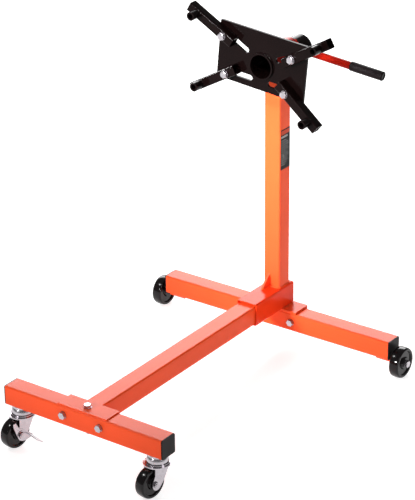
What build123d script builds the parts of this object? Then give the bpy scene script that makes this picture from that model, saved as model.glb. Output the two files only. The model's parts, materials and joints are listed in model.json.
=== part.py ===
"""Two-piece rotating engine stand: rolling base, mast, turning head and four clamping arms.

Millimetres, +Z up. The crossbars lie along X, the leg runs along Y and the head plate faces -Y.
The origin is on the floor, in the middle of the rectangle that the stand covers.
"""

from build123d import *
from math import cos, pi, radians, sin, sqrt, tan
import os

os.makedirs("parts", exist_ok=True)

# --- Base: crossbars and leg ---------------------------------------------------------------
TUBE = 50.0  # square tube of both crossbars and of the leg
TUBE_WALL = 2.0
TUBE_CORNER = 4.5  # outer corner radius
REAR_BAR_LENGTH = 692.0
FRONT_BAR_LENGTH = 458.0
BASE_SPAN = 793.0  # between the centrelines of the two crossbars
FLOOR_MIDDLE = 380.75  # from the floor rectangle's middle back to the rear crossbar's centreline
CAP_LIP = 3.0  # thickness of an end cap outside its tube
CAP_DEPTH = 6.0  # how far a cap's plug reaches in
CAP_WALL = 2.5
CAP_FIT = 0.1  # gap between the plug and the tube's inside

# --- Brackets, socket and mast --------------------------------------------------------------
FRONT_PLATE = 3.0  # thickness of the angle bracket on the leg's front end
FRONT_BRACKET_WIDTH = 144.0
FRONT_BRACKET_INSET = 4.0  # bracket's edge behind the crossbar's front face
FRONT_BOLT_X = 53.5
REAR_PLATE = 6.0  # thickness of the angle bracket under the socket
REAR_BRACKET_WIDTH = 138.0
REAR_BOLT_X = 54.5
BRACKET_DROP = 44.0  # height of each bracket's vertical flange below its top plate
SOCKET = 60.0
SOCKET_WALL = 3.0
SOCKET_CORNER = 5.0
SOCKET_LENGTH = 170.0
LEG_INSERTION = 155.0
MAST = 47.0
MAST_WALL = 3.0
MAST_CORNER = 4.0
MAST_SET_BACK = 10.7  # from the socket's rear end forward to the mast's rear face
GUSSET_HEIGHT = 36.0
GUSSET_LENGTH = 31.0
GUSSET_THICKNESS = 6.0
GUSSET_X = -8.0
LABEL_WIDTH = 41.0
LABEL_HEIGHT = 107.0
LABEL_THICKNESS = 0.4
LABEL_MIDDLE_Z = 543.5

# --- Fasteners of the frame (M10) -------------------------------------------------------------
BOLT = 10.0
BOLT_HEAD_AF = 17.0
BOLT_HEAD = 6.4
NUT = 8.0
WASHER_OD = 19.0
WASHER = 2.0
BOLT_TAIL = 5.0  # thread left standing past a nut
HOLE_GAP = 0.5  # a bolt hole's radius over the bolt's

# --- Rear wheels ------------------------------------------------------------------------------
WHEEL = 80.0
WHEEL_WIDTH = 28.0
WHEEL_SET_OUT = 24.0  # from the rear crossbar's end out to the middle of a wheel
AXLE_BOSS = 15.0  # round boss welded under each end of the rear crossbar
AXLE_BOSS_LENGTH = 45.0
WHEEL_BUSH = 14.0
RUNNING_GAP = 0.1  # radial gap of a wheel on its bush
END_GAP = 0.5  # side play of a wheel

# --- Casters ----------------------------------------------------------------------------------
CASTER_SET_IN = 29.0  # from the front crossbar's end in to the swivel axis
CASTER_HEADROOM = 2.0  # between the top of the wheel and the fork's crown
CASTER_WHEEL_WIDTH = 27.0
CASTER_TRAIL = 27.0
CASTER_TURN = -7.0  # both casters stand turned by this much
CASTER_FLANGE_OD = 46.0  # round flange under the crossbar
CASTER_FLANGE = 5.0
RACE_OD = 53.0  # rim of the domed upper race
RACE_DOME = 12.5  # height of the dome
RACE_SKIRT = 3.0  # how far the dome's rim hangs over the balls
RACE_WALL = 3.0
BALL = 4.6
BALL_RING_RADIUS = 20.0
BALL_COUNT = 14
BALL_SPACE = 5.0  # height between the upper and the lower race
CROWN_CUP_OD = 59.0  # ring on the crown around the upper race
CROWN_CUP_WALL = 2.0
CROWN_CUP = 3.5
CROWN_HOOD_RADIUS = 33.0  # round brim of the crown
CROWN_HOOD_PLACE = 2.0  # centre of that brim in front of the swivel axis
FORK_SHEET = 3.0
FORK_GAP = 31.0  # between the fork's two cheeks
KINGPIN = 12.0
KINGPIN_HEAD = 20.0
KINGPIN_HEAD_HEIGHT = 2.5
KINGPIN_AF = 18.0
KINGPIN_NUT = 10.0
KINGPIN_WASHER_OD = 24.0
CASTER_AXLE = 8.0
CASTER_AXLE_AF = 13.0
CASTER_AXLE_HEAD = 4.0
CASTER_NUT = 4.5
CASTER_BUSH = 12.0
BRAKE_SHEET = 2.0
BRAKE_COLLAR = 22.0  # round ridge pressed up about the axle
BRAKE_FOOT_REACH = 38.0
BRAKE_FOOT_WIDTH = 20.0

# --- Head -------------------------------------------------------------------------------------
AXIS_HEIGHT = 776.5  # centreline of the turning head above the floor
HEAD_ROLL = 5.5  # the head stands turned by this much, its right side down
PLATE_WIDTH = 256.0
PLATE_HEIGHT = 150.5
PLATE_THICKNESS = 6.0
PLATE_CORNER = 4.0
PLATE_SHIFT = -1.5  # plate and slots to the left of the turning axis
PLATE_RISE = 12.1  # plate's middle above the turning axis
PLATE_REACH = 70.0  # from the mast's middle forward to the plate's front face
PIVOT_OD = 68.0
PIVOT_WALL = 4.0
PIVOT_PROUD = 6.0  # pivot tube's front rim in front of the plate
PIVOT_TAIL = 105.0  # from the mast's middle back to the pivot tube's rear end
HOUSING_GAP = 0.3  # radial gap between the pivot tube and its housing
HOUSING_WALL = 6.0
HOUSING_TAIL = 54.0  # from the mast's middle back to the housing's rear end
HOUSING_CLEARANCE = 5.0  # between the plate and the housing's front end
HANDLE_BACK = 90.0  # from the mast's middle back to the handle
HANDLE_BAR = 20.0
HANDLE_TIP_U = 245.5
HANDLE_TAIL_U = -48.0
HANDLE_FIT = 0.1  # radial gap of the handle in the pivot tube
GRIP = 24.0
GRIP_LENGTH = 93.0
GRIP_END = 5.0
LOCK_PIN = 10.0
LOCK_PIN_BACK = 39.0  # from the mast's middle back to the lock pin
LOCK_BOSS = 20.0
LOCK_BOSS_LENGTH = 14.0
LOCK_TRAVEL = 9.0
LOCK_KNOB = 24.0
LOCK_KNOB_LENGTH = 14.0
INDEX_HOLES = 8

# --- Slots and arms ---------------------------------------------------------------------------
SLOT_WIDTH = 14.0
UPPER_SLOT_START = (46.5, 29.0)  # centre of the slot's inner end, from the turning axis
UPPER_SLOT_ANGLE = 25.0
UPPER_SLOT_LENGTH = 70.0  # between the centres of the slot's two ends
LOWER_SLOT_START = (29.5, -39.5)
LOWER_SLOT_ANGLE = 0.0
LOWER_SLOT_LENGTH = 64.0
ARM = 25.0
ARM_WALL = 3.0
ARM_CORNER = 2.5
ARM_OUTER = 116.0  # from the arm's bolt to its outer end
ARM_INNER = 30.0  # from the arm's bolt to its inner end
SLEEVE_PLACE = 87.5  # from the arm's bolt to its sleeve
SLEEVE_OD = 22.0
SLEEVE_BORE = 13.5
SLEEVE_LENGTH = 26.5
ARM_BOLT = 10.0
ARM_BOLT_AF = 17.0
ARM_BOLT_HEAD = 6.4
ARM_NUT = 8.0
ARM_WASHER_OD = 20.0
ARM_WASHER = 2.0
ARM_BOLT_GAP = 0.25  # radial gap of the arm on its bolt
ARM_PLAY = 0.3  # gap between the arm and the plate
# name: side, upper or lower slot, bolt's place along the slot, direction the arm points
ARMS = {
    "upper_left": (-1, "upper", 63.3, 156.0),
    "upper_right": (1, "upper", 57.7, 35.0),
    "lower_left": (-1, "lower", 58.0, 214.5),
    "lower_right": (1, "lower", 59.0, -35.0),
}

# --- Heights and places that follow from the sizes above --------------------------------------
REAR_Y = FLOOR_MIDDLE
FRONT_Y = REAR_Y - BASE_SPAN
AXLE_Z = WHEEL / 2
WHEEL_MIDDLE_X = REAR_BAR_LENGTH / 2 + WHEEL_SET_OUT
CASTER_X = FRONT_BAR_LENGTH / 2 - CASTER_SET_IN
REAR_BAR_Z = AXLE_Z + AXLE_BOSS / 2  # underside of the rear crossbar
SOCKET_Z = REAR_BAR_Z + TUBE + REAR_PLATE  # underside of the socket
LEG_Z = SOCKET_Z + SOCKET_WALL  # underside of the leg
LEG_TOP = LEG_Z + TUBE
FRONT_BAR_Z = LEG_TOP - FRONT_PLATE - TUBE  # underside of the front crossbar
FLANGE_Z = FRONT_BAR_Z - CASTER_FLANGE  # underside of the caster's round flange
UPPER_RACE_Z = FLANGE_Z - RACE_DOME  # ceiling over the balls
FORK_TOP_Z = UPPER_RACE_Z - BALL_SPACE
FORK_CROWN_Z = FORK_TOP_Z - FORK_SHEET  # underside of the fork's crown
CASTER_WHEEL = FORK_CROWN_Z - CASTER_HEADROOM  # 76 mm, filling the height under the crown
SOCKET_REAR_Y = REAR_Y + TUBE / 2
SOCKET_FRONT_Y = SOCKET_REAR_Y - SOCKET_LENGTH
LEG_FRONT_Y = FRONT_Y + TUBE / 2 + FRONT_PLATE
LEG_REAR_Y = SOCKET_FRONT_Y + LEG_INSERTION
MAST_Y = SOCKET_REAR_Y - MAST_SET_BACK - MAST / 2
MAST_Z = SOCKET_Z + SOCKET
PLATE_FRONT_Y = MAST_Y - PLATE_REACH
HOUSING_RADIUS = PIVOT_OD / 2 + HOUSING_GAP + HOUSING_WALL
HOUSING_FRONT_Y = PLATE_FRONT_Y + PLATE_THICKNESS + HOUSING_CLEARANCE
HOUSING_REAR_Y = MAST_Y + HOUSING_TAIL
HANDLE_Y = MAST_Y + HANDLE_BACK
LOCK_Y = MAST_Y + LOCK_PIN_BACK
SIDES = {"left": -1, "right": 1}


# --- Frames of reference ----------------------------------------------------------------------
def turned_about_y(origin, degrees):
    """A frame whose x axis is turned by this angle in the XZ plane, with its y axis along +Y."""
    a = radians(degrees)
    return Plane(origin=origin, x_dir=(cos(a), 0, sin(a)), z_dir=(-sin(a), 0, cos(a)))


def facing_side(frame, x, y=0.0, z=0.0):
    """The plane that looks along the frame's +x, with its own x along the frame's y."""
    origin = frame.from_local_coords(Vector(x, y, z))
    return Plane(origin=origin, x_dir=frame.y_dir, z_dir=frame.x_dir)


def facing_front(frame, x, y=0.0, z=0.0):
    """The plane that looks along the frame's -y, with its own x along the frame's x."""
    origin = frame.from_local_coords(Vector(x, y, z))
    return Plane(origin=origin, x_dir=frame.x_dir, z_dir=-frame.y_dir)


def facing_up(frame, x, y=0.0, z=0.0):
    """The plane that looks along the frame's +z."""
    origin = frame.from_local_coords(Vector(x, y, z))
    return Plane(origin=origin, x_dir=frame.x_dir, z_dir=frame.z_dir)


STAND = Plane.XY
HEAD = turned_about_y((0, PLATE_FRONT_Y, AXIS_HEIGHT), -HEAD_ROLL)


# --- Shapes that repeat, drawn inside the block of the piece that has them --------------------
def square_tube(place, size, wall, corner, length):
    """A square tube that starts on a plane and runs along its normal."""
    with BuildSketch(place) as section:
        RectangleRounded(size, size, corner)
        RectangleRounded(size - 2 * wall, size - 2 * wall, corner - wall, mode=Mode.SUBTRACT)
    extrude(section.sketch, amount=length)


def rod(place, diameter, length):
    """A round rod that starts on a plane and runs along its normal."""
    with BuildSketch(place) as section:
        Circle(diameter / 2)
    extrude(section.sketch, amount=length)


def drill(place, diameter, depth):
    """A round hole that starts on a plane and runs along its normal."""
    with BuildSketch(place) as section:
        Circle(diameter / 2)
    extrude(section.sketch, amount=depth, mode=Mode.SUBTRACT)


def ring(place, outer, bore, length):
    """A washer, bush or pipe that starts on a plane and runs along its normal."""
    with BuildSketch(place) as section:
        Circle(outer / 2)
        Circle(bore / 2, mode=Mode.SUBTRACT)
    extrude(section.sketch, amount=length)


def hex_head(place, across_flats, height):
    """A hexagon with its corners turned down, as on a bolt head."""
    turn_down = across_flats * 0.06
    with BuildSketch(place) as section:
        RegularPolygon(radius=across_flats / 2, side_count=6, major_radius=False)
    extrude(section.sketch, amount=height - turn_down)
    with BuildSketch(place.offset(height - turn_down)) as below:
        RegularPolygon(radius=across_flats / 2, side_count=6, major_radius=False)
    with BuildSketch(place.offset(height)) as above:
        RegularPolygon(radius=across_flats / 2 - turn_down, side_count=6, major_radius=False)
    loft([below.sketch.face(), above.sketch.face()])


def hex_nut(place, across_flats, bore, height):
    """A plain nut that starts on a plane and runs along its normal."""
    with BuildSketch(place) as section:
        RegularPolygon(radius=across_flats / 2, side_count=6, major_radius=False)
        Circle(bore / 2, mode=Mode.SUBTRACT)
    extrude(section.sketch, amount=height)


def finish(piece, name):
    """Labels a finished piece and writes it."""
    piece.label = name
    export_step(piece, f"parts/{name}.step")


# --- Crossbars and their caps -----------------------------------------------------------------
FRONT_BOLT_Z = LEG_Z + TUBE / 2
REAR_BOLT_Z = REAR_BAR_Z + TUBE / 2
BOLT_HOLE = BOLT + 2 * HOLE_GAP

with BuildPart() as rear_crossbar:
    square_tube(
        facing_side(STAND, -REAR_BAR_LENGTH / 2, REAR_Y, REAR_BAR_Z + TUBE / 2),
        TUBE,
        TUBE_WALL,
        TUBE_CORNER,
        REAR_BAR_LENGTH,
    )
    for side in SIDES.values():
        drill(
            facing_front(STAND, side * REAR_BOLT_X, REAR_Y + TUBE / 2, REAR_BOLT_Z),
            BOLT_HOLE,
            TUBE,
        )
finish(rear_crossbar.part, "rear_crossbar")

with BuildPart() as front_crossbar:
    square_tube(
        facing_side(STAND, -FRONT_BAR_LENGTH / 2, FRONT_Y, FRONT_BAR_Z + TUBE / 2),
        TUBE,
        TUBE_WALL,
        TUBE_CORNER,
        FRONT_BAR_LENGTH,
    )
    for side in SIDES.values():
        drill(
            facing_front(STAND, side * FRONT_BOLT_X, FRONT_Y + TUBE / 2, FRONT_BOLT_Z),
            BOLT_HOLE,
            TUBE,
        )
        drill(
            facing_up(STAND, side * CASTER_X, FRONT_Y, FRONT_BAR_Z),
            KINGPIN + HOLE_GAP,
            TUBE_WALL,
        )
    drill(facing_up(STAND, 0, FRONT_Y, FRONT_BAR_Z), BOLT_HOLE, TUBE)
finish(front_crossbar.part, "front_crossbar")
PLUG = TUBE - 2 * TUBE_WALL - 2 * CAP_FIT
with BuildPart() as end_caps:
    for bar_end, bar_y, bar_middle in (
        (REAR_BAR_LENGTH / 2, REAR_Y, REAR_BAR_Z + TUBE / 2),
        (FRONT_BAR_LENGTH / 2, FRONT_Y, FRONT_BAR_Z + TUBE / 2),
    ):
        for side in SIDES.values():
            mouth = Plane(
                origin=(side * bar_end, bar_y, bar_middle), x_dir=(0, 1, 0), z_dir=(side, 0, 0)
            )
            with BuildSketch(mouth):
                RectangleRounded(TUBE, TUBE, TUBE_CORNER)
            extrude(amount=CAP_LIP, taper=12)
            with BuildSketch(mouth):
                RectangleRounded(PLUG, PLUG, TUBE_CORNER - TUBE_WALL)
                RectangleRounded(
                    PLUG - 2 * CAP_WALL, PLUG - 2 * CAP_WALL, CAP_WALL / 2, mode=Mode.SUBTRACT
                )
            extrude(amount=-CAP_DEPTH)
finish(end_caps.part, "end_caps")

# --- Leg and its bracket ----------------------------------------------------------------------
with BuildPart() as leg:
    square_tube(
        facing_front(STAND, 0, LEG_REAR_Y, LEG_Z + TUBE / 2),
        TUBE,
        TUBE_WALL,
        TUBE_CORNER,
        LEG_REAR_Y - LEG_FRONT_Y,
    )
finish(leg.part, "leg")

front_bracket_y = FRONT_Y - TUBE / 2 + FRONT_BRACKET_INSET
with BuildPart() as front_bracket:
    with BuildSketch(facing_side(STAND, -FRONT_BRACKET_WIDTH / 2, 0, 0)):
        with BuildLine():
            Polyline(
                (front_bracket_y, LEG_TOP),
                (LEG_FRONT_Y, LEG_TOP),
                (LEG_FRONT_Y, LEG_TOP - FRONT_PLATE - BRACKET_DROP),
                (LEG_FRONT_Y - FRONT_PLATE, LEG_TOP - FRONT_PLATE - BRACKET_DROP),
                (LEG_FRONT_Y - FRONT_PLATE, LEG_TOP - FRONT_PLATE),
                (front_bracket_y, LEG_TOP - FRONT_PLATE),
                close=True,
            )
        make_face()
    extrude(amount=FRONT_BRACKET_WIDTH)
    for side in SIDES.values():
        drill(
            facing_front(STAND, side * FRONT_BOLT_X, LEG_FRONT_Y, FRONT_BOLT_Z),
            BOLT_HOLE,
            FRONT_PLATE,
        )
    drill(facing_up(STAND, 0, FRONT_Y, LEG_TOP - FRONT_PLATE), BOLT_HOLE, FRONT_PLATE)
finish(front_bracket.part, "front_bracket")

# --- Socket, its bracket and the screw that holds the leg -------------------------------------
LOCK_SCREW_Y = SOCKET_FRONT_Y + 40.0
LOCK_SCREW_Z = SOCKET_Z + SOCKET / 2

with BuildPart() as leg_socket:
    square_tube(
        facing_front(STAND, 0, SOCKET_REAR_Y, SOCKET_Z + SOCKET / 2),
        SOCKET,
        SOCKET_WALL,
        SOCKET_CORNER,
        SOCKET_LENGTH,
    )
    drill(
        facing_side(STAND, -SOCKET / 2, LOCK_SCREW_Y, LOCK_SCREW_Z),
        BOLT + HOLE_GAP,
        SOCKET_WALL,
    )
finish(leg_socket.part, "leg_socket")

with BuildPart() as rear_bracket:
    bracket_top = SOCKET_Z
    bar_rear_y = REAR_Y + TUBE / 2
    with BuildSketch(facing_side(STAND, -REAR_BRACKET_WIDTH / 2, 0, 0)):
        with BuildLine():
            Polyline(
                (REAR_Y - TUBE / 2, bracket_top),
                (bar_rear_y + REAR_PLATE, bracket_top),
                (bar_rear_y + REAR_PLATE, bracket_top - REAR_PLATE - BRACKET_DROP),
                (bar_rear_y, bracket_top - REAR_PLATE - BRACKET_DROP),
                (bar_rear_y, bracket_top - REAR_PLATE),
                (REAR_Y - TUBE / 2, bracket_top - REAR_PLATE),
                close=True,
            )
        make_face()
    extrude(amount=REAR_BRACKET_WIDTH)
    for side in SIDES.values():
        drill(
            facing_front(STAND, side * REAR_BOLT_X, bar_rear_y + REAR_PLATE, REAR_BOLT_Z),
            BOLT_HOLE,
            REAR_PLATE,
        )
finish(rear_bracket.part, "rear_bracket")

lock_gap = SOCKET / 2 - SOCKET_WALL - TUBE / 2  # between the leg and the socket's side wall
with BuildPart() as leg_lock_screw:
    seat = facing_side(STAND, -SOCKET / 2, LOCK_SCREW_Y, LOCK_SCREW_Z)
    rod(seat.offset(-NUT - 4.0), BOLT, NUT + 4.0 + SOCKET_WALL + lock_gap)
    outward = Plane(origin=seat.offset(-NUT - 4.0).origin, x_dir=(0, 1, 0), z_dir=(-1, 0, 0))
    hex_head(outward, BOLT_HEAD_AF, BOLT_HEAD)
finish(leg_lock_screw.part, "leg_lock_screw")

with BuildPart() as leg_lock_nut:
    hex_nut(
        facing_side(STAND, -SOCKET / 2 - NUT, LOCK_SCREW_Y, LOCK_SCREW_Z),
        BOLT_HEAD_AF,
        BOLT,
        NUT,
    )
finish(leg_lock_nut.part, "leg_lock_nut")

# --- Mast, gusset, label and housing ----------------------------------------------------------
with BuildPart() as mast:
    square_tube(facing_up(STAND, 0, MAST_Y, MAST_Z), MAST, MAST_WALL, MAST_CORNER, AXIS_HEIGHT - MAST_Z)
    drill(
        facing_front(STAND, 0, MAST_Y + MAST, AXIS_HEIGHT),
        2 * HOUSING_RADIUS,
        2 * MAST,
    )
finish(mast.part, "mast")

with BuildPart() as mast_gusset:
    gusset_y = MAST_Y - MAST / 2
    with BuildSketch(facing_side(STAND, GUSSET_X - GUSSET_THICKNESS / 2, 0, 0)):
        with BuildLine():
            Polyline(
                (gusset_y, MAST_Z),
                (gusset_y, MAST_Z + GUSSET_HEIGHT),
                (gusset_y - GUSSET_LENGTH, MAST_Z + GUSSET_THICKNESS),
                (gusset_y - GUSSET_LENGTH, MAST_Z),
                close=True,
            )
        make_face()
    extrude(amount=GUSSET_THICKNESS)
finish(mast_gusset.part, "mast_gusset")

with BuildPart() as mast_label:
    with BuildSketch(facing_side(STAND, MAST / 2, MAST_Y, LABEL_MIDDLE_Z)):
        RectangleRounded(LABEL_WIDTH, LABEL_HEIGHT, 1.5)
    extrude(amount=LABEL_THICKNESS)
finish(mast_label.part, "mast_label")

LOCK_HOLE = LOCK_PIN + 2 * RUNNING_GAP
with BuildPart() as head_housing:
    ring(
        facing_front(STAND, 0, HOUSING_REAR_Y, AXIS_HEIGHT),
        2 * HOUSING_RADIUS,
        PIVOT_OD + 2 * HOUSING_GAP,
        HOUSING_REAR_Y - HOUSING_FRONT_Y,
    )
    drill(
        facing_side(STAND, -HOUSING_RADIUS - 1.0, LOCK_Y, AXIS_HEIGHT),
        LOCK_HOLE,
        HOUSING_RADIUS,
    )
finish(head_housing.part, "head_housing")

lock_boss_x = HOUSING_RADIUS + LOCK_BOSS_LENGTH - 1.5
with BuildPart() as lock_boss:
    ring(
        facing_side(STAND, -lock_boss_x, LOCK_Y, AXIS_HEIGHT),
        LOCK_BOSS,
        LOCK_HOLE,
        LOCK_BOSS_LENGTH,
    )
    drill(
        facing_front(STAND, 0, HOUSING_REAR_Y, AXIS_HEIGHT),
        2 * HOUSING_RADIUS,
        HOUSING_REAR_Y - HOUSING_FRONT_Y,
    )
finish(lock_boss.part, "lock_boss")

lock_tip_x = PIVOT_OD / 2 + 1.0  # the pin stands withdrawn, just clear of the pivot tube
lock_knob_x = lock_boss_x + LOCK_TRAVEL + 1.0
with BuildPart() as lock_pin:
    rod(
        facing_side(STAND, -lock_knob_x, LOCK_Y, AXIS_HEIGHT),
        LOCK_PIN,
        lock_knob_x - lock_tip_x,
    )
    rod(
        facing_side(STAND, -lock_knob_x - LOCK_KNOB_LENGTH, LOCK_Y, AXIS_HEIGHT),
        LOCK_KNOB,
        LOCK_KNOB_LENGTH,
    )
    fillet(lock_pin.edges().filter_by(GeomType.CIRCLE).sort_by(Axis.X)[0], 3.0)
finish(lock_pin.part, "lock_pin")

# --- Bolts, washers and nuts of the base ------------------------------------------------------
# each: the plane under the bolt's head, and the thickness that it clamps
FRAME_BOLTS = [
    (facing_front(STAND, side * FRONT_BOLT_X, FRONT_Y - TUBE / 2, FRONT_BOLT_Z), TUBE + FRONT_PLATE)
    for side in SIDES.values()
]
FRAME_BOLTS += [
    (facing_front(STAND, side * REAR_BOLT_X, REAR_Y - TUBE / 2, REAR_BOLT_Z), TUBE + REAR_PLATE)
    for side in SIDES.values()
]
FRAME_BOLTS += [(facing_up(STAND, 0, FRONT_Y, LEG_TOP), TUBE + FRONT_PLATE)]

with BuildPart() as frame_bolts:
    for seat, grip in FRAME_BOLTS:
        shank = grip + 2 * WASHER + NUT + BOLT_TAIL
        hex_head(seat.offset(WASHER), BOLT_HEAD_AF, BOLT_HEAD)
        rod(seat.offset(WASHER - shank), BOLT, shank)
finish(frame_bolts.part, "frame_bolts")

with BuildPart() as frame_washers:
    for seat, grip in FRAME_BOLTS:
        ring(seat, WASHER_OD, BOLT + HOLE_GAP, WASHER)
        ring(seat.offset(-grip - WASHER), WASHER_OD, BOLT + HOLE_GAP, WASHER)
finish(frame_washers.part, "frame_washers")

with BuildPart() as frame_nuts:
    for seat, grip in FRAME_BOLTS:
        hex_nut(seat.offset(-grip - WASHER - NUT), BOLT_HEAD_AF, BOLT, NUT)
finish(frame_nuts.part, "frame_nuts")


# --- Rear wheels ------------------------------------------------------------------------------
def wheel(frame, diameter, width, bore):
    """A moulded wheel about the frame's x axis: crowned tread, raised rims and a hub."""
    r = diameter / 2
    half = width / 2
    rim = r * 0.80
    hub = max(r * 0.36, bore / 2 + 3.0)
    web_depth = width * 0.16
    lip = width * 0.05
    shoulder = width * 0.17
    with BuildPart() as body:
        with BuildSketch(Plane(origin=frame.origin, x_dir=frame.x_dir, z_dir=frame.z_dir)):
            with BuildLine():
                Polyline(
                    (-half, hub),
                    (-half, bore / 2),
                    (half, bore / 2),
                    (half, hub),
                    (half - web_depth, hub + web_depth / 2),
                    (half - web_depth, rim - web_depth / 2),
                    (half - lip / 2, rim),
                    (half - lip / 2, r - shoulder),
                )
                RadiusArc((half - lip / 2, r - shoulder), (half - shoulder, r - lip / 2), -shoulder)
                ThreePointArc(
                    (half - shoulder, r - lip / 2), (0, r), (-half + shoulder, r - lip / 2)
                )
                RadiusArc((-half + shoulder, r - lip / 2), (-half + lip / 2, r - shoulder), -shoulder)
                Polyline(
                    (-half + lip / 2, r - shoulder),
                    (-half + lip / 2, rim),
                    (-half + web_depth, rim - web_depth / 2),
                    (-half + web_depth, hub + web_depth / 2),
                    (-half, hub),
                )
            make_face()
        revolve(axis=Axis(frame.origin, frame.x_dir))
    return body.part


WHEEL_BORE = WHEEL_BUSH + 2 * RUNNING_GAP
BAR_END_X = REAR_BAR_LENGTH / 2
BUSH_OUTER_X = WHEEL_MIDDLE_X + WHEEL_WIDTH / 2 + END_GAP
AXLE_SHANK = BUSH_OUTER_X + WASHER - BAR_END_X + AXLE_BOSS_LENGTH - BOLT_TAIL
AXLE_FRAMES = {
    name: Plane(origin=(0, REAR_Y, AXLE_Z), x_dir=(side, 0, 0), z_dir=(0, 0, 1))
    for name, side in SIDES.items()
}

for name, axle in AXLE_FRAMES.items():
    hub = facing_up(axle, WHEEL_MIDDLE_X)
    rear_wheel = wheel(hub, WHEEL, WHEEL_WIDTH, WHEEL_BORE)
    finish(rear_wheel, f"rear_wheel_{name}")

with BuildPart() as axle_bosses:
    for axle in AXLE_FRAMES.values():
        ring(facing_side(axle, BAR_END_X - AXLE_BOSS_LENGTH), AXLE_BOSS, BOLT, AXLE_BOSS_LENGTH)
finish(axle_bosses.part, "axle_bosses")

with BuildPart() as axle_bolts:
    for axle in AXLE_FRAMES.values():
        under_head = facing_side(axle, BUSH_OUTER_X + WASHER)
        hex_head(under_head, BOLT_HEAD_AF, BOLT_HEAD)
        rod(under_head.offset(-AXLE_SHANK), BOLT, AXLE_SHANK)
finish(axle_bolts.part, "axle_bolts")

with BuildPart() as wheel_bushes:
    for axle in AXLE_FRAMES.values():
        ring(facing_side(axle, BAR_END_X), WHEEL_BUSH, BOLT + HOLE_GAP, BUSH_OUTER_X - BAR_END_X)
        ring(facing_side(axle, BUSH_OUTER_X), WASHER_OD, BOLT + HOLE_GAP, WASHER)
finish(wheel_bushes.part, "wheel_bushes")

# --- Casters ----------------------------------------------------------------------------------
CASTER_AXLE_Z = CASTER_WHEEL / 2
CHEEK = FORK_GAP / 2
CHEEK_OUTER = CHEEK + FORK_SHEET


def fork_cheek(turn, side):
    """One cheek of the fork: wide under the crown, narrowing to a round tip below the axle."""
    top = FORK_TOP_Z - CASTER_AXLE_Z
    rear = CASTER_TRAIL + 21.5
    with BuildSketch(facing_side(turn, side * CHEEK, -CASTER_TRAIL, CASTER_AXLE_Z)) as section:
        with BuildLine():
            Polyline(
                (-9.0, -1.0),
                (-7.0, 9.0),
                (-0.5, 22.0),
                (0.0, top),
                (rear, top),
                (rear - 1.5, top - 6.0),
                (rear - 10.5, 20.0),
                (rear - 22.0, 0.0),
                (15.0, -12.0),
            )
            ThreePointArc((15.0, -12.0), (2.5, -16.0), (-9.0, -1.0))
        make_face()
    extrude(section.sketch, amount=side * FORK_SHEET)


CASTER_FRAMES = {
    name: Plane(
        origin=(side * CASTER_X, FRONT_Y, 0),
        x_dir=(cos(radians(CASTER_TURN)), sin(radians(CASTER_TURN)), 0),
        z_dir=(0, 0, 1),
    )
    for name, side in SIDES.items()
}

with BuildPart() as caster_flanges:
    flange_r = CASTER_FLANGE_OD / 2
    race_r = RACE_OD / 2
    for side in SIDES.values():
        swivel = Plane(origin=(side * CASTER_X, FRONT_Y, FLANGE_Z), x_dir=(1, 0, 0), z_dir=(0, -1, 0))
        with BuildSketch(swivel) as dome:
            with BuildLine():
                Polyline(
                    (KINGPIN / 2, -RACE_DOME),
                    (KINGPIN / 2, CASTER_FLANGE),
                    (flange_r, CASTER_FLANGE),
                    (flange_r, 0),
                )
                ThreePointArc(
                    (flange_r, 0), (race_r - 0.9, -RACE_DOME * 0.45), (race_r, -RACE_DOME)
                )
                Polyline(
                    (race_r, -RACE_DOME),
                    (race_r, -RACE_DOME - RACE_SKIRT),
                    (race_r - RACE_WALL, -RACE_DOME - RACE_SKIRT),
                    (race_r - RACE_WALL, -RACE_DOME),
                    (KINGPIN / 2, -RACE_DOME),
                )
            make_face()
        revolve(dome.sketch, axis=Axis((side * CASTER_X, FRONT_Y, 0), (0, 0, 1)))
finish(caster_flanges.part, "caster_flanges")

with BuildPart() as caster_kingpins:
    for turn in CASTER_FRAMES.values():
        under_crown = facing_up(turn, 0, 0, FORK_CROWN_Z - HOUSING_GAP)
        inside_bar = TUBE_WALL + WASHER + KINGPIN_NUT + BOLT_TAIL
        rod(under_crown.offset(-KINGPIN_HEAD_HEIGHT), KINGPIN_HEAD, KINGPIN_HEAD_HEIGHT)
        rod(under_crown, KINGPIN, FRONT_BAR_Z + inside_bar - FORK_CROWN_Z + HOUSING_GAP)
finish(caster_kingpins.part, "caster_kingpins")

with BuildPart() as kingpin_nuts:
    for turn in CASTER_FRAMES.values():
        on_wall = facing_up(turn, 0, 0, FRONT_BAR_Z + TUBE_WALL)
        ring(on_wall, KINGPIN_WASHER_OD, KINGPIN + HOLE_GAP, WASHER)
        hex_nut(on_wall.offset(WASHER), KINGPIN_AF, KINGPIN, KINGPIN_NUT)
finish(kingpin_nuts.part, "kingpin_nuts")

with BuildPart() as caster_balls:
    for turn in CASTER_FRAMES.values():
        with Locations(facing_up(turn, 0, 0, UPPER_RACE_Z - BALL_SPACE / 2)):
            with PolarLocations(BALL_RING_RADIUS, BALL_COUNT):
                Sphere(BALL / 2)
finish(caster_balls.part, "caster_balls")

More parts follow.
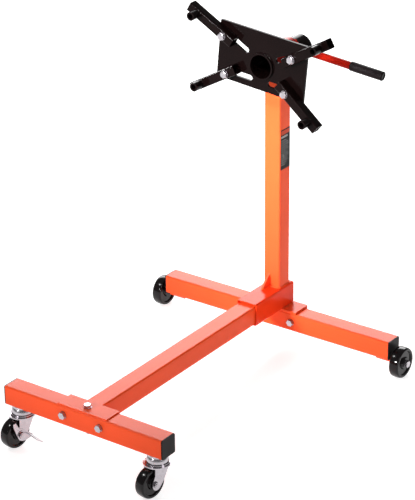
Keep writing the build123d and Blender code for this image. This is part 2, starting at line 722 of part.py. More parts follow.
for name, turn in CASTER_FRAMES.items():
    with BuildPart() as caster_fork:
        crown = facing_up(turn, 0, 0, FORK_CROWN_Z)
        rod(crown, CROWN_CUP_OD, FORK_SHEET)
        rod(facing_up(turn, 0, -CROWN_HOOD_PLACE, FORK_CROWN_Z), 2 * CROWN_HOOD_RADIUS, FORK_SHEET)
        ring(
            crown.offset(FORK_SHEET),
            CROWN_CUP_OD,
            CROWN_CUP_OD - 2 * CROWN_CUP_WALL,
            CROWN_CUP,
        )
        for cheek_side in (-1, 1):
            fork_cheek(turn, cheek_side)
        drill(crown, KINGPIN + 2 * RUNNING_GAP, FORK_SHEET)
        drill(
            facing_side(turn, -FORK_GAP, -CASTER_TRAIL, CASTER_AXLE_Z),
            CASTER_AXLE,
            2 * FORK_GAP,
        )
    finish(caster_fork.part, f"caster_fork_{name}")

    hub = facing_up(turn, 0, -CASTER_TRAIL, CASTER_AXLE_Z)
    caster_wheel = wheel(
        hub, CASTER_WHEEL, CASTER_WHEEL_WIDTH, CASTER_BUSH + 2 * RUNNING_GAP
    )
    finish(caster_wheel, f"caster_wheel_{name}")

    brake_room = BRAKE_SHEET + 2 * HOUSING_GAP if name == "left" else 0.0
    with BuildPart() as caster_axle:
        # bolt from the left, nut on the right, where the left caster also holds its brake
        outward = Plane(
            origin=hub.from_local_coords(Vector(-CHEEK_OUTER, 0, 0)),
            x_dir=hub.y_dir,
            z_dir=-hub.x_dir,
        )
        hex_head(outward, CASTER_AXLE_AF, CASTER_AXLE_HEAD)
        shank = 2 * CHEEK_OUTER + brake_room + CASTER_NUT + 1.0
        rod(facing_side(hub, -CHEEK_OUTER), CASTER_AXLE, shank)
    finish(caster_axle.part, f"caster_axle_{name}")

    with BuildPart() as caster_nut:
        hex_nut(
            facing_side(hub, CHEEK_OUTER + brake_room), CASTER_AXLE_AF, CASTER_AXLE, CASTER_NUT
        )
    finish(caster_nut.part, f"caster_nut_{name}")

    with BuildPart() as caster_bush:
        ring(facing_side(hub, -CHEEK), CASTER_BUSH, CASTER_AXLE + HOLE_GAP, FORK_GAP)
    finish(caster_bush.part, f"caster_bush_{name}")

# the left caster's brake is a rocker on the axle: a foot tab to lock it, a toe tab to free it
brake_turn = CASTER_FRAMES["left"]
brake_hub = facing_up(brake_turn, 0, -CASTER_TRAIL, CASTER_AXLE_Z)
brake_face = facing_side(brake_hub, CHEEK_OUTER + HOUSING_GAP)
FOOT_TIP = 17.0 + BRAKE_FOOT_WIDTH
with BuildPart() as brake_pedal:
    with BuildSketch(brake_face):
        with BuildLine():
            Polyline(
                (-20.5, 36.0),
                (-13.5, 36.0),
                (-4.0, 18.0),
                (9.0, 12.0),
                (22.0, 1.0),
                (FOOT_TIP, -12.0),
                (FOOT_TIP, -17.0),
                (14.0, -20.0),
                (4.0, -18.0),
                (-5.5, -12.0),
                (-10.5, -3.5),
                (-16.0, 12.5),
                (-21.0, 25.5),
                close=True,
            )
        make_face()
        Circle(CASTER_AXLE / 2 + RUNNING_GAP, mode=Mode.SUBTRACT)
    extrude(amount=BRAKE_SHEET)
    ring(brake_face.offset(BRAKE_SHEET), BRAKE_COLLAR, BRAKE_COLLAR - 5.0, 1.2)
    with BuildSketch(brake_face) as foot:
        with BuildLine():
            Polyline(
                (FOOT_TIP - BRAKE_FOOT_WIDTH * 0.9, -0.5),
                (FOOT_TIP, -13.5),
                (FOOT_TIP, -13.5 - BRAKE_SHEET * 1.25),
                (FOOT_TIP - BRAKE_FOOT_WIDTH * 0.9, -0.5 - BRAKE_SHEET * 1.25),
                close=True,
            )
        make_face()
    outward = brake_hub.x_dir * cos(radians(10)) - brake_hub.z_dir * sin(radians(10))
    extrude(foot.sketch, amount=BRAKE_FOOT_REACH, dir=outward)
finish(brake_pedal.part, "brake_pedal")


# --- Turning head -----------------------------------------------------------------------------
def slot_point(side, row, along):
    """A point on a slot's centreline, as (u, v) from the turning axis."""
    start, angle = (
        (UPPER_SLOT_START, UPPER_SLOT_ANGLE) if row == "upper" else (LOWER_SLOT_START, LOWER_SLOT_ANGLE)
    )
    u = start[0] + along * cos(radians(angle))
    v = start[1] + along * sin(radians(angle))
    return PLATE_SHIFT + side * u, v


SLOTS = [("upper", UPPER_SLOT_LENGTH), ("lower", LOWER_SLOT_LENGTH)]
with BuildPart() as head_plate:
    with BuildSketch(facing_front(HEAD, 0, PLATE_THICKNESS, 0)):
        with Locations((PLATE_SHIFT, PLATE_RISE)):
            RectangleRounded(PLATE_WIDTH, PLATE_HEIGHT, PLATE_CORNER)
        Circle(PIVOT_OD / 2, mode=Mode.SUBTRACT)
        for side in SIDES.values():
            for row, length in SLOTS:
                slope = side * (UPPER_SLOT_ANGLE if row == "upper" else LOWER_SLOT_ANGLE)
                with Locations(slot_point(side, row, length / 2)):
                    SlotCenterToCenter(length, SLOT_WIDTH, rotation=slope, mode=Mode.SUBTRACT)
    extrude(amount=PLATE_THICKNESS)
finish(head_plate.part, "head_plate")

pivot_rear = MAST_Y + PIVOT_TAIL - PLATE_FRONT_Y  # pivot tube's rear end behind the plate's face
with BuildPart() as pivot_tube:
    ring(
        facing_front(HEAD, 0, pivot_rear, 0),
        PIVOT_OD,
        PIVOT_OD - 2 * PIVOT_WALL,
        pivot_rear + PIVOT_PROUD,
    )
    drill(
        facing_side(HEAD, -PIVOT_OD, HANDLE_Y - PLATE_FRONT_Y, 0),
        HANDLE_BAR + 2 * HANDLE_FIT,
        2 * PIVOT_OD,
    )
    for k in range(INDEX_HOLES // 2):
        index = turned_about_y((0, LOCK_Y, AXIS_HEIGHT), 360.0 * k / INDEX_HOLES)
        drill(facing_side(index, -PIVOT_OD), LOCK_PIN + 4 * RUNNING_GAP, 2 * PIVOT_OD)
finish(pivot_tube.part, "pivot_tube")

handle_back = HANDLE_Y - PLATE_FRONT_Y
with BuildPart() as handle_bar:
    rod(
        facing_side(HEAD, HANDLE_TAIL_U, handle_back, 0), HANDLE_BAR, HANDLE_TIP_U - HANDLE_TAIL_U
    )
    chamfer(handle_bar.edges().filter_by(GeomType.CIRCLE), 1.5)
finish(handle_bar.part, "handle_bar")

grip_tip = HANDLE_TIP_U + GRIP_END
with BuildPart() as handle_grip:
    rod(facing_side(HEAD, grip_tip - GRIP_LENGTH, handle_back, 0), GRIP, GRIP_LENGTH)
    fillet(handle_grip.edges().filter_by(GeomType.CIRCLE).sort_by(Axis.X)[-1], 4.0)
    drill(
        facing_side(HEAD, grip_tip - GRIP_LENGTH, handle_back, 0),
        HANDLE_BAR,
        GRIP_LENGTH - GRIP_END,
    )
finish(handle_grip.part, "handle_grip")

# --- Arms and the bolts that clamp them -------------------------------------------------------
arm_middle = -ARM_PLAY - ARM / 2
arm_face = -ARM_PLAY - ARM
for name, (side, row, along, angle) in ARMS.items():
    u, v = slot_point(side, row, along)
    bolt_centre = HEAD.from_local_coords(Vector(u, 0, v))
    frame = turned_about_y(bolt_centre, angle - HEAD_ROLL)
    sleeve_front = arm_face - SLEEVE_LENGTH

    with BuildPart() as arm_tube:
        square_tube(
            facing_side(frame, -ARM_INNER, arm_middle, 0),
            ARM,
            ARM_WALL,
            ARM_CORNER + 1.0,
            ARM_INNER + ARM_OUTER,
        )
        drill(facing_front(frame, 0, 0, 0), ARM_BOLT + 2 * ARM_BOLT_GAP, 2 * ARM)
        drill(facing_front(frame, SLEEVE_PLACE, 0, 0), SLEEVE_BORE, 2 * ARM)
    finish(arm_tube.part, f"arm_{name}")

    with BuildPart() as arm_sleeve:
        ring(
            facing_front(frame, SLEEVE_PLACE, arm_face, 0), SLEEVE_OD, SLEEVE_BORE, SLEEVE_LENGTH
        )
    finish(arm_sleeve.part, f"arm_sleeve_{name}")

    with BuildPart() as arm_bolt:
        seat = facing_front(frame, 0, arm_face - ARM_PLAY, 0)
        grip = ARM + 2 * ARM_PLAY + PLATE_THICKNESS + ARM_PLAY
        shank = grip + 2 * ARM_WASHER + ARM_NUT + BOLT_TAIL
        hex_head(seat.offset(ARM_WASHER), ARM_BOLT_AF, ARM_BOLT_HEAD)
        rod(seat.offset(ARM_WASHER - shank), ARM_BOLT, shank)
    finish(arm_bolt.part, f"arm_bolt_{name}")

    with BuildPart() as arm_nut:
        ring(seat, ARM_WASHER_OD, ARM_BOLT + HOLE_GAP, ARM_WASHER)
        ring(seat.offset(-grip - ARM_WASHER), ARM_WASHER_OD, ARM_BOLT + HOLE_GAP, ARM_WASHER)
        hex_nut(seat.offset(-grip - ARM_WASHER - ARM_NUT), ARM_BOLT_AF, ARM_BOLT, ARM_NUT)
    finish(arm_nut.part, f"arm_nut_{name}")
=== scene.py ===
"""Engine stand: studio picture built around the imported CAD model. Metres, +Z up."""

import json
import math

import bmesh
import bpy
from mathutils import Matrix, Vector


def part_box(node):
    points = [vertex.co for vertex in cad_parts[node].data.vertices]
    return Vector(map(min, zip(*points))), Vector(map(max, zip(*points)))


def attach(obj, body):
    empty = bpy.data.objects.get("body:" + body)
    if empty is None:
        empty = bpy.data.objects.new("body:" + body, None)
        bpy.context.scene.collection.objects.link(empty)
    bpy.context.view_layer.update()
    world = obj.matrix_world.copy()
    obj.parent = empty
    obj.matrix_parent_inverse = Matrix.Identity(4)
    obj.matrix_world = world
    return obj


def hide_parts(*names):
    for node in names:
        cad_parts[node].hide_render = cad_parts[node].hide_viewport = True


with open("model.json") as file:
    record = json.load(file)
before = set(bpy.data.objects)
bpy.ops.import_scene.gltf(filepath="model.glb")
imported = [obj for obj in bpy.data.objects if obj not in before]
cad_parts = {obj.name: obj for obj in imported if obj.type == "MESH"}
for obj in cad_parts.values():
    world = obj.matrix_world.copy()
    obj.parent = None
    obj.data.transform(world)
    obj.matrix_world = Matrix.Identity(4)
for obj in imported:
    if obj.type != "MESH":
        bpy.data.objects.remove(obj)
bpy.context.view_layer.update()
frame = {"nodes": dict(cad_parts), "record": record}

MM = 0.001

# Places and sizes that the CAD model has (millimetres)
FRONT_Y = -412.25
REAR_Y = 380.75
BAR_HALF = 25.0
FRONT_PLATE, REAR_PLATE = 3.0, 6.0
WASHER, NUT = 2.0, 8.0
FRONT_BOLT_X, FRONT_BOLT_Z = 53.5, 131.5
REAR_BOLT_X, REAR_BOLT_Z = 54.5, 72.5
LEG_FRONT_Y = -384.25
LEG_SIDE_FOOT, LEG_SIDE_TOP = 110.0, 152.0
LEG_FOOT_Z, LEG_FOOT_HALF = 106.5, 22.0
SOCKET_HALF, SOCKET_FOOT = 30.0, 103.5
BRACKET_WELD_HALF = 23.0
BOSS_FROM, BOSS_TO, BOSS_WELD_HALF, BOSS_WELD_Z = 303.0, 344.0, 6.0, 46.6
MAST_Y = 371.55
MAST_HALF, MAST_CORNER = 23.5, 4.0
MAST_FOOT = 163.5
GUSSET_X, GUSSET_HALF = -8.0, 3.0
GUSSET_REACH, GUSSET_HEIGHT = 31.0, 35.0
AXIS_Z = 776.5
PLATE_Y, PLATE_BACK = 301.55, 6.3
ROLL = math.radians(-5.5)
HOUSING_R = 40.3
LOCK_Y, LOCK_BOSS_R = MAST_Y + 39.0, 10.0
LEG_NUT_HALF, LEG_NUT_R, LEG_NUT_Z = 9.8, 9.2, 133.5
ARM_DEPTH = 25.3
SLEEVE_WELD_R = 11.2
THREAD_R, THREAD_LENGTH, THREAD_PITCH = 4.8, 5.0, 1.5
HANDLE_DEPTH, GRIP_ROOT = 160.0, 157.5
ARM_NAMES = ("upper_left", "upper_right", "lower_left", "lower_right")

# Radii of the weld beads, and how far a weld stays clear of the gusset's corner (millimetres)
BEAD = {
    "mast_foot": 2.6, "gusset_foot": 2.2, "gusset_back": 2.0, "bracket": 2.4, "leg": 2.0, "axle_boss": 1.9,
    "saddle": 2.3, "leg_nut": 1.3, "lock_boss": 1.5, "plate_front": 1.2, "plate_back": 2.0, "sleeve": 1.5,
}
CORNER_GAP = 3.0


# ---------------------------------------------------------------- materials
def nodes_of(name):
    """A fresh material with its node tree, its shader and a helper that adds nodes."""
    mat = bpy.data.materials.new(name)
    mat.use_nodes = True
    tree = mat.node_tree
    shader = tree.nodes["Principled BSDF"]

    def add(kind, **values):
        node = tree.nodes.new(kind)
        for key, value in values.items():
            if key.startswith("in_"):
                node.inputs[key[3:].replace("_", " ")].default_value = value
            else:
                setattr(node, key, value)
        return node

    return mat, tree, shader, add


def mottled(tree, add, shader, base, spread, scale):
    """Colour that wanders a little round its base."""
    coords = add("ShaderNodeTexCoord")
    noise = add("ShaderNodeTexNoise", in_Scale=scale, in_Detail=4.0, in_Roughness=0.6)
    ramp = add("ShaderNodeValToRGB")
    low = [c * (1.0 - spread) for c in base]
    high = [min(1.0, c * (1.0 + spread)) for c in base]
    ramp.color_ramp.elements[0].position = 0.3
    ramp.color_ramp.elements[0].color = (*low, 1)
    ramp.color_ramp.elements[1].position = 0.7
    ramp.color_ramp.elements[1].color = (*high, 1)
    tree.links.new(coords.outputs["Object"], noise.inputs["Vector"])
    tree.links.new(noise.outputs["Fac"], ramp.inputs["Fac"])
    tree.links.new(ramp.outputs["Color"], shader.inputs["Base Color"])
    return coords


def rough_and_bump(tree, add, shader, coords, rough, wander, peel, depth, scale_rough=18.0):
    """Roughness that wanders, and a fine surface texture of the given grain."""
    patch = add("ShaderNodeTexNoise", in_Scale=scale_rough, in_Detail=5.0)
    spread = add("ShaderNodeMapRange", in_To_Min=rough - wander, in_To_Max=rough + wander)
    spread.inputs["From Min"].default_value = 0.3
    spread.inputs["From Max"].default_value = 0.7
    grain = add("ShaderNodeTexNoise", in_Scale=peel, in_Detail=3.0, in_Roughness=0.55)
    bump = add("ShaderNodeBump", in_Strength=1.0, in_Distance=depth)
    links = tree.links
    links.new(coords.outputs["Object"], patch.inputs["Vector"])
    links.new(patch.outputs["Fac"], spread.inputs["Value"])
    links.new(spread.outputs["Result"], shader.inputs["Roughness"])
    links.new(coords.outputs["Object"], grain.inputs["Vector"])
    links.new(grain.outputs["Fac"], bump.inputs["Height"])
    links.new(bump.outputs["Normal"], shader.inputs["Normal"])


def powder_coat(name, base, rough, specular, depth, spread=0.05):
    """Baked paint: nearly smooth, with a faint orange peel of the given depth."""
    mat, tree, shader, add = nodes_of(name)
    coords = mottled(tree, add, shader, base, spread, 6.0)
    rough_and_bump(tree, add, shader, coords, rough, 0.03, 420.0, depth)
    shader.inputs["Specular IOR Level"].default_value = specular
    return mat


def zinc_plate(name, base, rough):
    """Bare plated metal with small differences of shine."""
    mat, tree, shader, add = nodes_of(name)
    coords = mottled(tree, add, shader, base, 0.10, 60.0)
    rough_and_bump(tree, add, shader, coords, rough, 0.08, 900.0, 0.00001, 90.0)
    shader.inputs["Metallic"].default_value = 1.0
    return mat


def moulded(name, base, rough, specular, grain, depth, spread=0.25):
    """Plastic, rubber or film with a moulded grain."""
    mat, tree, shader, add = nodes_of(name)
    coords = mottled(tree, add, shader, base, spread, 25.0)
    rough_and_bump(tree, add, shader, coords, rough, 0.05, grain, depth, 40.0)
    shader.inputs["Specular IOR Level"].default_value = specular
    return mat


ORANGE = powder_coat("orange_powder_coat", (0.92, 0.088, 0.022), 0.22, 0.10, 0.000012)
# painted shade: a darker, deeper copy of the orange paint, standing in for the shade on the leg socket
ORANGE_PAINTED_SHADE = powder_coat("orange_powder_coat_painted_shade", (0.88, 0.046, 0.009), 0.20, 0.10, 0.000012)
RED = powder_coat("red_powder_coat", (0.30, 0.0075, 0.0025), 0.20, 0.07, 0.000008)
BLACK = powder_coat("black_powder_coat", (0.0026, 0.0011, 0.0011), 0.14, 0.08, 0.000002, 0.2)
ZINC = zinc_plate("zinc_plate", (0.50, 0.47, 0.50), 0.22)
STEEL = zinc_plate("bearing_steel", (0.66, 0.66, 0.67), 0.12)
WHEEL = moulded("glossy_wheel_plastic", (0.0045, 0.0030, 0.0033), 0.14, 0.28, 300.0, 0.000004)
CAP = moulded("cap_plastic", (0.006, 0.004, 0.0045), 0.40, 0.12, 700.0, 0.00003)
GRIP = moulded("grip_rubber", (0.006, 0.004, 0.0045), 0.40, 0.07, 1100.0, 0.00004)
LABEL = moulded("label_film", (0.005, 0.0045, 0.0045), 0.30, 0.08, 500.0, 0.000005)
PRINT_LIGHT = moulded("label_light_print", (0.36, 0.35, 0.34), 0.35, 0.1, 500.0, 0.000005, 0.06)
PRINT_ORANGE = moulded("label_orange_print", (0.55, 0.05, 0.015), 0.32, 0.1, 500.0, 0.000005, 0.08)

SLOT_MATERIALS = {
    "orange_paint": ORANGE,
    "red_paint": RED,
    "black_paint": BLACK,
    "zinc": ZINC,
    "bearing_steel": STEEL,
    "wheel_plastic": WHEEL,
    "cap_plastic": CAP,
    "grip_rubber": GRIP,
    "label_film": LABEL,
}
# the leg socket and its lock nut get the painted-shade copy of the orange paint
NODE_MATERIALS = {"leg_socket": ORANGE_PAINTED_SHADE, "leg_lock_nut": ORANGE_PAINTED_SHADE}
for part in frame["record"]["subparts"]:
    obj = frame["nodes"][part["node"]]
    paint = NODE_MATERIALS.get(part["node"], SLOT_MATERIALS[part["material_slot"]])
    obj.data.materials.clear()
    obj.data.materials.append(paint)


# ---------------------------------------------------------------- mesh helpers
def new_object(name, bm, material, body, smooth=True):
    """A finished mesh as an object that rides on a body."""
    mesh = bpy.data.meshes.new(name)
    bm.normal_update()
    bm.to_mesh(mesh)
    bm.free()
    for poly in mesh.polygons:
        poly.use_smooth = smooth
    obj = bpy.data.objects.new(name, mesh)
    bpy.context.scene.collection.objects.link(obj)
    mesh.materials.append(material)
    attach(obj, body)
    return obj


def sample_path(points, closed, step):
    """The path's points, evenly spaced, with the distance run at each."""
    loop = points + [points[0]] if closed else points
    out, run = [], 0.0
    for a, b in zip(loop, loop[1:]):
        length = (b - a).length
        n = max(1, round(length / step))
        for k in range(n):
            out.append((a.lerp(b, k / n), run + length * k / n))
        run += length
    if not closed:
        out.append((loop[-1], run))
    return out, run


def add_bead(bm, points, radius, closed=False, pitch=2.2, sides=10):
    """A weld bead along a path of points in millimetres, rippled like a run of small puddles."""
    samples, total = sample_path([Vector(p) for p in points], closed, pitch / 5.0)
    waves = max(1, round(total / pitch))
    rings = []
    count = len(samples)
    for i, (p, run) in enumerate(samples):
        before = samples[i - 1][0] if (i > 0 or closed) else p
        after = samples[(i + 1) % count][0] if (i < count - 1 or closed) else p
        tangent = (after - before).normalized()
        side = tangent.orthogonal().normalized()
        if abs(tangent.dot(Vector((0, 0, 1)))) < 0.95:
            side = tangent.cross(Vector((0, 0, 1))).normalized()
        other = tangent.cross(side).normalized()
        phase = (run / total * waves) % 1.0
        swell = 0.86 + 0.16 * (phase ** 0.6) + 0.05 * math.sin(run * 0.37) * math.sin(run * 0.11)
        if not closed:
            edge = min(run, total - run)
            swell *= min(1.0, 0.35 + edge / (1.6 * radius))
        r = radius * swell
        ring = []
        for k in range(sides):
            a = 2 * math.pi * k / sides
            ring.append(bm.verts.new((p + side * (r * math.cos(a)) + other * (r * math.sin(a))) * MM))
        rings.append(ring)
    spans = count if closed else count - 1
    for i in range(spans):
        a, b = rings[i], rings[(i + 1) % count]
        for k in range(sides):
            bm.faces.new((a[k], a[(k + 1) % sides], b[(k + 1) % sides], b[k]))
    if not closed:
        bm.faces.new(list(reversed(rings[0])))
        bm.faces.new(rings[-1])


def arc(centre, u, v, radius, start=0.0, end=360.0, count=72):
    """Points of an arc in the plane of u and v."""
    c, u, v = Vector(centre), Vector(u), Vector(v)
    out = []
    for k in range(count if end - start >= 360 else count + 1):
        a = math.radians(start + (end - start) * k / count)
        out.append(c + u * (radius * math.cos(a)) + v * (radius * math.sin(a)))
    return out


def lathe(bm, origin, axis, ref, profile, count=80):
    """Turns a profile of (distance along axis, radius) pairs about the axis. Millimetres."""
    o, x = Vector(origin), Vector(axis).normalized()
    u = Vector(ref).normalized()
    v = x.cross(u).normalized()
    rings = []
    for along, r in profile:
        ring = []
        for k in range(count):
            a = 2 * math.pi * k / count
            ring.append(bm.verts.new((o + x * along + (u * math.cos(a) + v * math.sin(a)) * r) * MM))
        rings.append(ring)
    for a, b in zip(rings, rings[1:]):
        for k in range(count):
            bm.faces.new((a[k], a[(k + 1) % count], b[(k + 1) % count], b[k]))
    return rings


def close_ring(bm, ring):
    """A flat face over an open end."""
    bm.faces.new(ring)


def add_thread(bm, start, axis, length, radius, pitch, steps=18):
    """The raised helix of a screw thread round a shank. Millimetres."""
    s, x = Vector(start), Vector(axis).normalized()
    u = x.orthogonal().normalized()
    v = x.cross(u).normalized()
    turns = length / pitch - 0.9
    count = max(2, int(turns * steps))
    prev = None
    for i in range(count + 1):
        t = i / steps
        a = 2 * math.pi * t
        out = u * math.cos(a) + v * math.sin(a)
        base = s + x * (t * pitch)
        fade = min(1.0, i / 6.0, (count - i) / 6.0)
        rise = 0.42 * pitch * 0.5 * fade
        trio = [
            bm.verts.new((base + x * 0.02 + out * (radius - 0.05)) * MM),
            bm.verts.new((base + x * (0.5 * pitch) + out * (radius + rise)) * MM),
            bm.verts.new((base + x * (0.98 * pitch) + out * (radius - 0.05)) * MM),
        ]
        if prev:
            for k in range(2):
                bm.faces.new((prev[k], prev[k + 1], trio[k + 1], trio[k]))
        prev = trio


def head_point(u, v, depth):
    """A point from the turning axis on the head: u along the plate, v up it, depth behind its face."""
    c, s = math.cos(ROLL), math.sin(ROLL)
    return Vector((u * c - v * s, PLATE_Y + depth, AXIS_Z + u * s + v * c))


HEAD_U = Vector((math.cos(ROLL), 0, math.sin(ROLL)))
HEAD_V = Vector((-math.sin(ROLL), 0, math.cos(ROLL)))


# ---------------------------------------------------------------- welds of the frame
def rounded_square(cx, cy, z, half, corner):
    """The outline of a square tube, as a level loop of points."""
    out = []
    for qx, qy, start in ((1, 1, 0), (-1, 1, 90), (-1, -1, 180), (1, -1, 270)):
        centre = (cx + qx * (half - corner), cy + qy * (half - corner), z)
        out += arc(centre, (1, 0, 0), (0, 1, 0), corner, start, start + 90, 5)
    return out


def housing_edge(y, x_from, x_to, steps=16):
    """Points along the underside of the housing tube, above one face of the mast."""
    out = []
    for k in range(steps + 1):
        x = x_from + (x_to - x_from) * k / steps
        out.append((x, y, AXIS_Z - math.sqrt(HOUSING_R**2 - x * x)))
    return out


bm = bmesh.new()
add_bead(bm, rounded_square(0, MAST_Y, MAST_FOOT, MAST_HALF, MAST_CORNER), BEAD["mast_foot"], closed=True)
gusset_y = MAST_Y - MAST_HALF
for side in (-1, 1):
    x = GUSSET_X + side * GUSSET_HALF
    near, far = gusset_y - GUSSET_REACH, gusset_y - CORNER_GAP
    add_bead(bm, [(x, near, MAST_FOOT), (x, far, MAST_FOOT)], BEAD["gusset_foot"])
    low, high = MAST_FOOT + CORNER_GAP, MAST_FOOT + GUSSET_HEIGHT
    add_bead(bm, [(x, gusset_y, low), (x, gusset_y, high)], BEAD["gusset_back"])
    x = side * SOCKET_HALF
    near, far = REAR_Y - BRACKET_WELD_HALF, REAR_Y + BRACKET_WELD_HALF
    add_bead(bm, [(x, near, SOCKET_FOOT), (x, far, SOCKET_FOOT)], BEAD["bracket"])
    x = side * BAR_HALF
    add_bead(bm, [(x, LEG_FRONT_Y, LEG_SIDE_FOOT), (x, LEG_FRONT_Y, LEG_SIDE_TOP)], BEAD["leg"])
    for edge in (-1, 1):
        y = REAR_Y + edge * BOSS_WELD_HALF
        seam = [(side * BOSS_FROM, y, BOSS_WELD_Z), (side * BOSS_TO, y, BOSS_WELD_Z)]
        add_bead(bm, seam, BEAD["axle_boss"])
foot = [(-LEG_FOOT_HALF, LEG_FRONT_Y, LEG_FOOT_Z), (LEG_FOOT_HALF, LEG_FRONT_Y, LEG_FOOT_Z)]
add_bead(bm, foot, BEAD["leg"])
# saddle of the housing on the mast
saddle = housing_edge(MAST_Y - MAST_HALF, -MAST_HALF, MAST_HALF)
saddle += housing_edge(MAST_Y + MAST_HALF, MAST_HALF, -MAST_HALF)
add_bead(bm, saddle, BEAD["saddle"], closed=True)
nut_middle = (-SOCKET_HALF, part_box("leg_lock_nut")[0].y / MM + LEG_NUT_HALF, LEG_NUT_Z)
nut_edge = arc(nut_middle, (0, 1, 0), (0, 0, 1), LEG_NUT_R, count=40)
add_bead(bm, nut_edge, BEAD["leg_nut"], closed=True)
new_object("frame_welds", bm, ORANGE, "base")

# weld of the lock's boss, where the boss meets the round of the housing
bm = bmesh.new()
boss_edge = []
for k in range(40):
    a = 2 * math.pi * k / 40
    dz = LOCK_BOSS_R * math.sin(a)
    boss_edge.append((-math.sqrt(HOUSING_R**2 - dz * dz), LOCK_Y + LOCK_BOSS_R * math.cos(a), AXIS_Z + dz))
add_bead(bm, boss_edge, BEAD["lock_boss"], closed=True)
new_object("lock_boss_weld", bm, RED, "base")

# ---------------------------------------------------------------- welds of the head
bm = bmesh.new()
front_edge = arc((0, PLATE_Y - 0.3, AXIS_Z), HEAD_U, HEAD_V, 34.2)
add_bead(bm, front_edge, BEAD["plate_front"], closed=True)
back_edge = arc((0, PLATE_Y + PLATE_BACK, AXIS_Z), HEAD_U, HEAD_V, 34.8)
add_bead(bm, back_edge, BEAD["plate_back"], closed=True, pitch=2.6)
new_object("head_welds", bm, BLACK, "head")

for name in ARM_NAMES:
    lo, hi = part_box(f"arm_sleeve_{name}")
    middle = (lo + hi) / 2 / MM
    seam = arc((middle.x, PLATE_Y - ARM_DEPTH, middle.z), HEAD_U, HEAD_V, SLEEVE_WELD_R, count=48)
    bm = bmesh.new()
    add_bead(bm, seam, BEAD["sleeve"], closed=True)
    new_object(f"arm_weld_{name}", bm, BLACK, f"arm_{name}")

# ---------------------------------------------------------------- label print
LABEL_FACE_X = MAST_HALF + 0.4


def printed_bar(bm, y0, y1, z0, z1):
    """A raised patch of ink on the label, with its edges sloped down to the film."""
    x0, x1, s = LABEL_FACE_X - 0.05, LABEL_FACE_X + 0.12, 0.15
    low = [(x0, y0, z0), (x0, y1, z0), (x0, y1, z1), (x0, y0, z1)]
    high = [(x1, y0 + s, z0 + s), (x1, y1 - s, z0 + s), (x1, y1 - s, z1 - s), (x1, y0 + s, z1 - s)]
    a = [bm.verts.new(Vector(p) * MM) for p in low]
    b = [bm.verts.new(Vector(p) * MM) for p in high]
    bm.faces.new(b)
    bm.faces.new(list(reversed(a)))
    for k in range(4):
        bm.faces.new((a[k], a[(k + 1) % 4], b[(k + 1) % 4], b[k]))


LABEL_TOP = 597.0
LABEL_HALF = 18.5
LINE_HEIGHT, LINE_GAP = 1.5, 4.4
y_near, y_far = MAST_Y - LABEL_HALF, MAST_Y + LABEL_HALF
bm = bmesh.new()
printed_bar(bm, y_near, y_far, LABEL_TOP - 14.0, LABEL_TOP - 3.0)
new_object("label_heading", bm, PRINT_ORANGE, "base", smooth=False)
bm = bmesh.new()
printed_bar(bm, y_near, y_far - 8.0, LABEL_TOP - 23.0, LABEL_TOP - 17.5)
z = LABEL_TOP - 29.0
for share in (0.62, 0.86, 0.94, 0.72, 0.90, 0.55, 0.84, 0.90, 0.66, 0.78, 0.62, 0.50):
    printed_bar(bm, y_near, y_near + (y_far - y_near) * share, z - LINE_HEIGHT, z)
    z -= LINE_HEIGHT + LINE_GAP
new_object("label_bars", bm, PRINT_LIGHT, "base", smooth=False)

# ---------------------------------------------------------------- ribbed grip
# a profile is a list of (distance from the grip's root, radius)
GRIP_BORE_R = 10.02
RIBS_FROM, RIBS_TO, RIB_PITCH = 5.0, 84.0, 3.1
RIB_R, GROOVE_R = 11.85, 11.25
bore = [(88.0, GRIP_BORE_R), (0.0, GRIP_BORE_R)]
root_collar = [(0.0, 11.2), (0.5, 11.9), (3.0, 11.98), (3.6, 11.6)]
tip_collar = [(87.2, 11.6), (88.0, 11.98), (90.4, 11.9), (91.8, 11.2)]
tip_dimple = [(92.6, 10.0), (92.95, 8.6), (92.95, 5.0), (92.4, 4.2)]
ribs = []
x = RIBS_FROM
while x < RIBS_TO:
    ribs += [(x, GROOVE_R), (x + 0.5, RIB_R), (x + 1.9, RIB_R), (x + 2.4, GROOVE_R)]
    x += RIB_PITCH
bm = bmesh.new()
grip_root = head_point(GRIP_ROOT, 0.0, HANDLE_DEPTH)
rings = lathe(bm, grip_root, HEAD_U, (0, 1, 0), bore + root_collar + ribs + tip_collar + tip_dimple)
close_ring(bm, rings[0])
close_ring(bm, rings[-1])
bmesh.ops.recalc_face_normals(bm, faces=bm.faces)
grip = new_object("ribbed_grip", bm, GRIP, "handle")
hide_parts("handle_grip")

# ---------------------------------------------------------------- screw threads
BOLTS = (
    (REAR_BOLT_X, REAR_Y + BAR_HALF + REAR_PLATE + WASHER + NUT, REAR_BOLT_Z),
    (FRONT_BOLT_X, FRONT_Y + BAR_HALF + FRONT_PLATE + WASHER + NUT, FRONT_BOLT_Z),
)
bm = bmesh.new()
for bolt_x, y, z in BOLTS:
    for x in (-bolt_x, bolt_x):
        add_thread(bm, (x, y, z), (0, 1, 0), THREAD_R, THREAD_LENGTH, THREAD_PITCH)
new_object("frame_bolt_threads", bm, ZINC, "base")
for name in ARM_NAMES:
    lo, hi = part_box(f"arm_nut_{name}")
    middle = (lo + hi) / 2 / MM
    bm = bmesh.new()
    start = (middle.x, hi.y / MM, middle.z)
    add_thread(bm, start, (0, 1, 0), THREAD_R, THREAD_LENGTH, THREAD_PITCH)
    new_object(f"arm_bolt_thread_{name}", bm, ZINC, f"clamp_{name}")

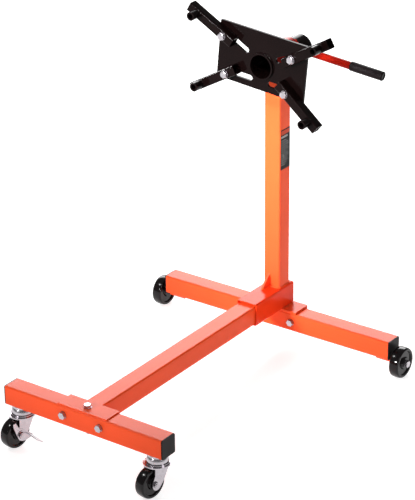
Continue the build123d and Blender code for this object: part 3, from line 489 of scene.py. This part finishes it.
# ---------------------------------------------------------------- camera
# The camera's place and turn were solved from the photo's straight edges.
CAMERA_PLACE = Vector((2.6650, -3.9896, 2.4493)) + Vector((0, 0.35575, 0.0265))
YAW, PITCH, LEAN = math.radians(35.754), math.radians(24.747), math.radians(-0.600)
SENSOR, LENS = 36.0, 148.67784
across = Vector((math.cos(YAW), math.sin(YAW), 0))
ahead = Vector((-math.sin(YAW) * math.cos(PITCH), math.cos(YAW) * math.cos(PITCH), -math.sin(PITCH)))
upward = across.cross(ahead)
camera_x = across * math.cos(LEAN) + upward * math.sin(LEAN)
camera_y = upward * math.cos(LEAN) - across * math.sin(LEAN)
camera_data = bpy.data.cameras.new("camera")
camera_data.sensor_width = SENSOR
camera_data.lens = LENS
camera_data.clip_end = 60.0
camera = bpy.data.objects.new("camera", camera_data)
bpy.context.scene.collection.objects.link(camera)
turn = Matrix((camera_x, camera_y, -ahead)).transposed().to_4x4()
camera.matrix_world = Matrix.Translation(CAMERA_PLACE) @ turn
bpy.context.scene.camera = camera

# ---------------------------------------------------------------- floor and light
mesh = bpy.data.meshes.new("floor")
FLOOR_HALF = 9.0
corners = [(x * FLOOR_HALF, y * FLOOR_HALF, 0) for x, y in ((-1, -1), (1, -1), (1, 1), (-1, 1))]
mesh.from_pydata(corners, [], [(0, 1, 2, 3)])
floor = bpy.data.objects.new("floor", mesh)
bpy.context.scene.collection.objects.link(floor)
mat, tree, shader, add = nodes_of("floor_paper")
mottled(tree, add, shader, (0.62, 0.62, 0.62), 0.01, 3.0)
shader.inputs["Roughness"].default_value = 0.9
shader.inputs["Specular IOR Level"].default_value = 0.0
shader.inputs["Emission Color"].default_value = (1, 1, 1, 1)
shader.inputs["Emission Strength"].default_value = 0.76
mesh.materials.append(mat)

world = bpy.data.worlds.new("studio")
world.use_nodes = True
world.node_tree.nodes["Background"].inputs["Color"].default_value = (1, 1, 1, 1)
world.node_tree.nodes["Background"].inputs["Strength"].default_value = 0.22
bpy.context.scene.world = world
bpy.context.scene.view_settings.view_transform = "Standard"


def softbox(name, place, target, width, height, power):
    """A rectangular light at a place, facing a target."""
    data = bpy.data.lights.new(name, "AREA")
    data.shape = "RECTANGLE"
    data.size, data.size_y = width, height
    data.energy = power
    obj = bpy.data.objects.new(name, data)
    bpy.context.scene.collection.objects.link(obj)
    obj.location = place
    obj.rotation_euler = (Vector(target) - Vector(place)).to_track_quat("-Z", "Y").to_euler()
    return obj


softbox("light_key", (-1.96, -1.60, 3.15), (0, 0, 0.2), 0.34, 0.34, 26.0)
softbox("light_back", (-2.1, 2.9, 1.75), (0, 0, 0.35), 3.4, 1.8, 130.0)
softbox("light_side", (3.2, -0.6, 1.6), (0, 0, 0.4), 0.8, 0.8, 13.0)
for name, place in (("light_edge_front", (0.45, -1.75, 3.1)), ("light_edge_left", (-2.85, -0.85, 1.6))):
    edge_light = softbox(name, place, (0, 0.3, 0.80), 0.24, 0.24, 0.7)
    edge_light.data.spread = math.radians(14)
mast_light = softbox("light_mast", (-0.7, -3.2, 1.5), (0, 0.35, 0.58), 0.5, 0.5, 7.0)
mast_light.data.spread = math.radians(22)
